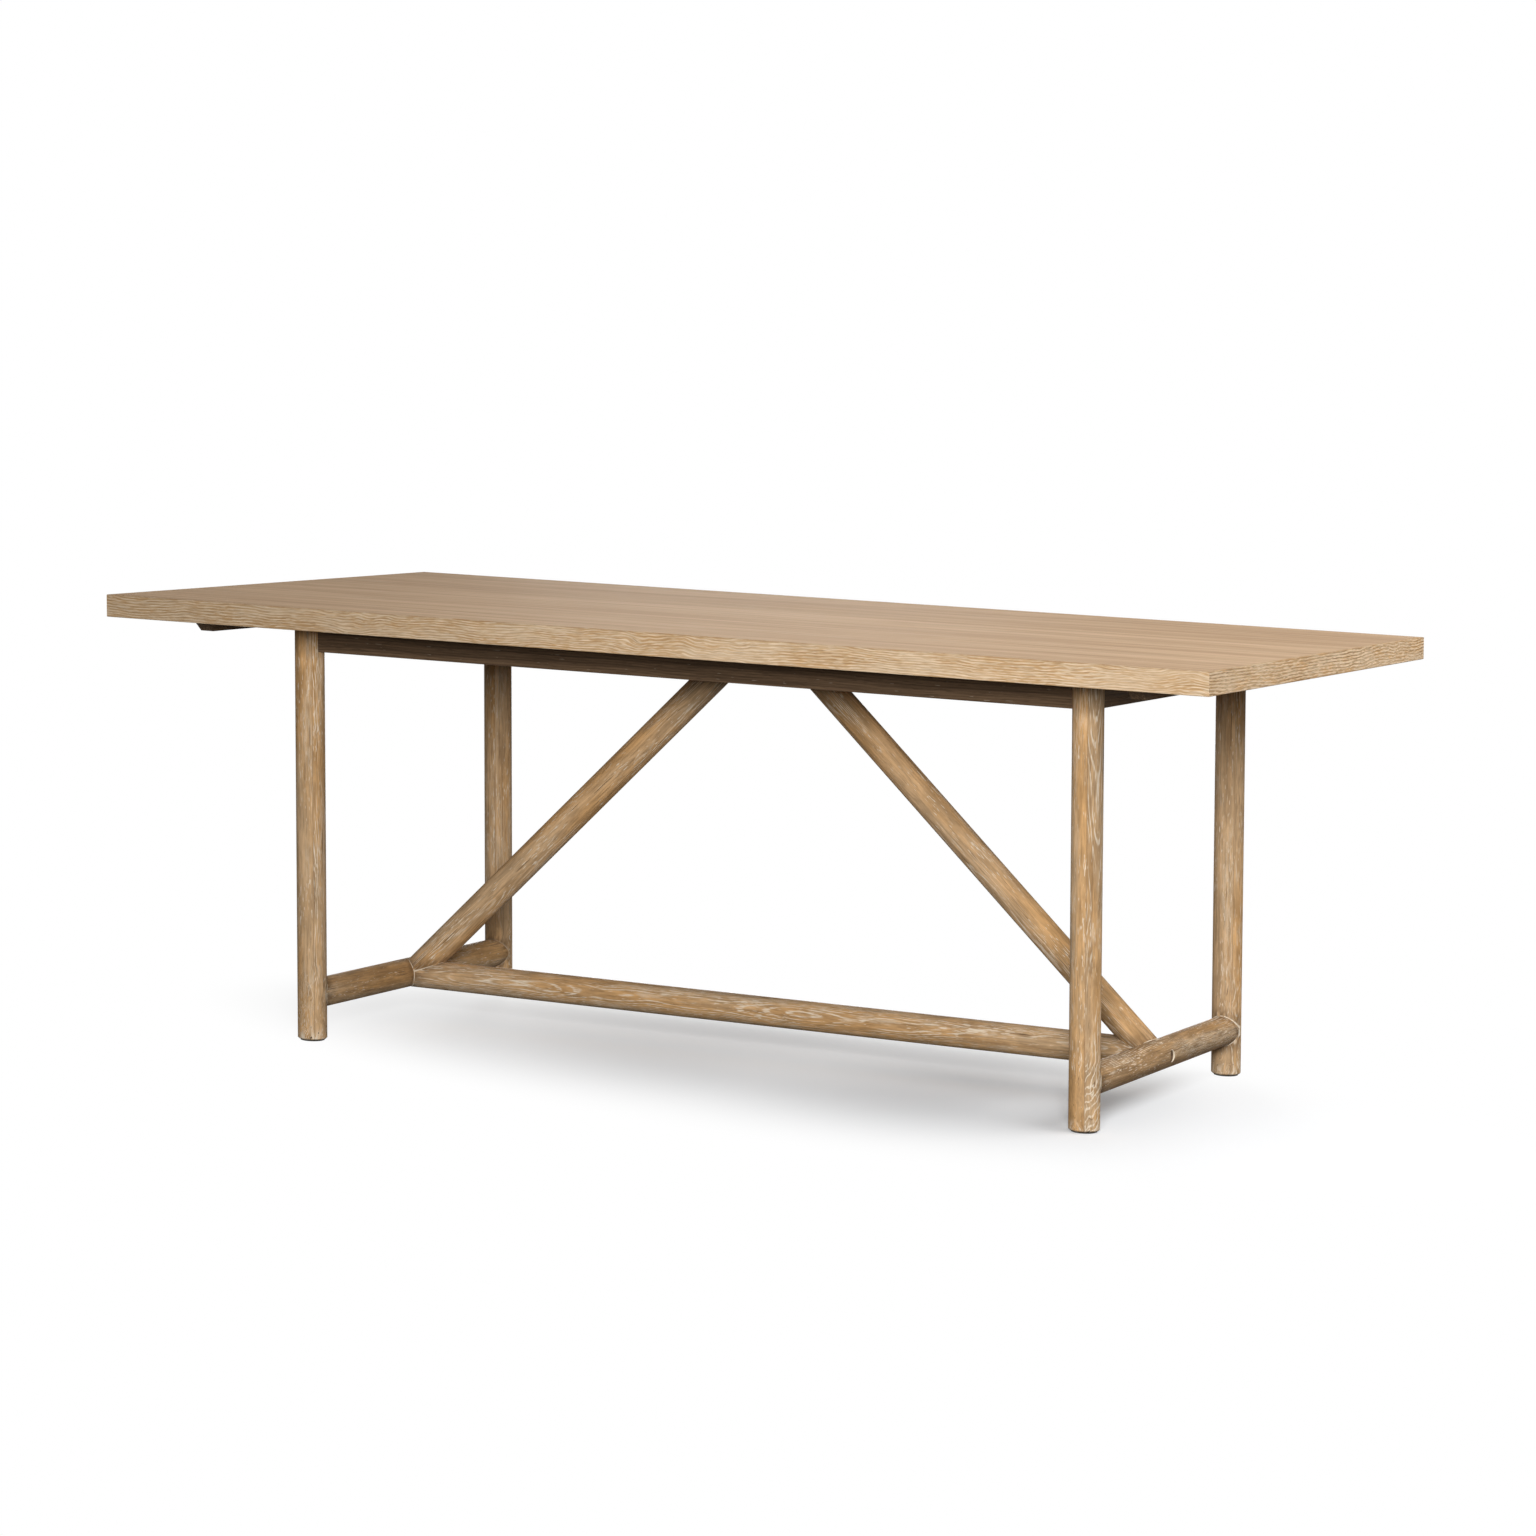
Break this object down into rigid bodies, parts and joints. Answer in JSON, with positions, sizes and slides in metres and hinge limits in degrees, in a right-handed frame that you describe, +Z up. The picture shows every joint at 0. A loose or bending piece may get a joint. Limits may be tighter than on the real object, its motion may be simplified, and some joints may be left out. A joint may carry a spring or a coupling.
{
  "type": "trestle table",
  "caption": "Rectangular trestle dining table of whitewashed oak: faced and lipped top on round legs, low round stretchers, diagonal braces and flat rails.",
  "frame": {"origin": "floor level under the centre of the top", "axes": "+X along the length, +Y across the width towards the back, +Z up"},
  "size_m": [1.981, 1.067, 0.762],
  "materials": {
    "oak_top": "smooth matt whitewashed oak",
    "oak_edge": "brushed whitewashed oak",
    "oak_frame": "brushed, aged, whitewashed oak",
    "oak_rail": "planed oak, matt",
    "core_board": "raw blockboard",
    "beech_joinery": "raw beech",
    "zinc_steel": "bright zinc",
    "felt_pad": "pressed felt"
  },
  "bodies": {
    "root": {"upper_face": "oak_top", "lower_face": "oak_top", "front_lipping": "oak_edge", "back_lipping": "oak_edge", "left_lipping": "oak_edge", "right_lipping": "oak_edge", "front_left_leg": "oak_frame", "front_right_leg": "oak_frame", "back_left_leg": "oak_frame", "back_right_leg": "oak_frame", "left_cross_stretcher": "oak_frame", "right_cross_stretcher": "oak_frame", "long_stretcher": "oak_frame", "left_brace": "oak_frame", "right_brace": "oak_frame", "bolt_plugs": "oak_frame", "front_rail": "oak_rail", "back_rail": "oak_rail", "left_end_rail": "oak_rail", "right_end_rail": "oak_rail", "centre_rail": "oak_rail", "left_batten": "oak_rail", "right_batten": "oak_rail", "top_core": "core_board", "stretcher_dowels": "beech_joinery", "brace_foot_dowels": "beech_joinery", "long_rail_tenons": "beech_joinery", "end_rail_tenons": "beech_joinery", "centre_rail_tenons": "beech_joinery", "brace_head_tenon": "beech_joinery", "stretcher_bolts": "zinc_steel", "bolt_washers": "zinc_steel", "barrel_nuts": "zinc_steel", "rail_screws": "zinc_steel", "batten_screws": "zinc_steel", "foot_pads": "felt_pad"}
  },
  "joints": []
}
